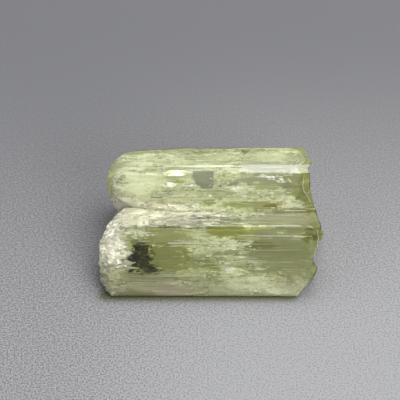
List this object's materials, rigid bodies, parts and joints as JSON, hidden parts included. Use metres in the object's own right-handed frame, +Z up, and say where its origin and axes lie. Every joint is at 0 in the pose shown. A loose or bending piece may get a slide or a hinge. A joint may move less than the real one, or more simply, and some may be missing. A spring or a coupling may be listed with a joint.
{
  "type": "hiddenite crystal",
  "caption": "Loose natural green spodumene crystal: long, ribbed, see-through parallel prisms fused side by side, with etched rounded tips and a broken end, lying flat.",
  "frame": {"origin": "middle of the footprint, on the surface that the stone lies on", "axes": "+X along the prisms, from the etched tips to the broken end; +Y from the near, lower prism to the far, higher one; +Z up, away from the flat underside"},
  "size_m": [0.03, 0.0188, 0.0101],
  "materials": {
    "hiddenite": "clear to milky yellow-green crystal, finely ribbed along its length, frosted on the etched tips"
  },
  "bodies": {
    "root": {"crystal": "hiddenite"}
  },
  "joints": []
}
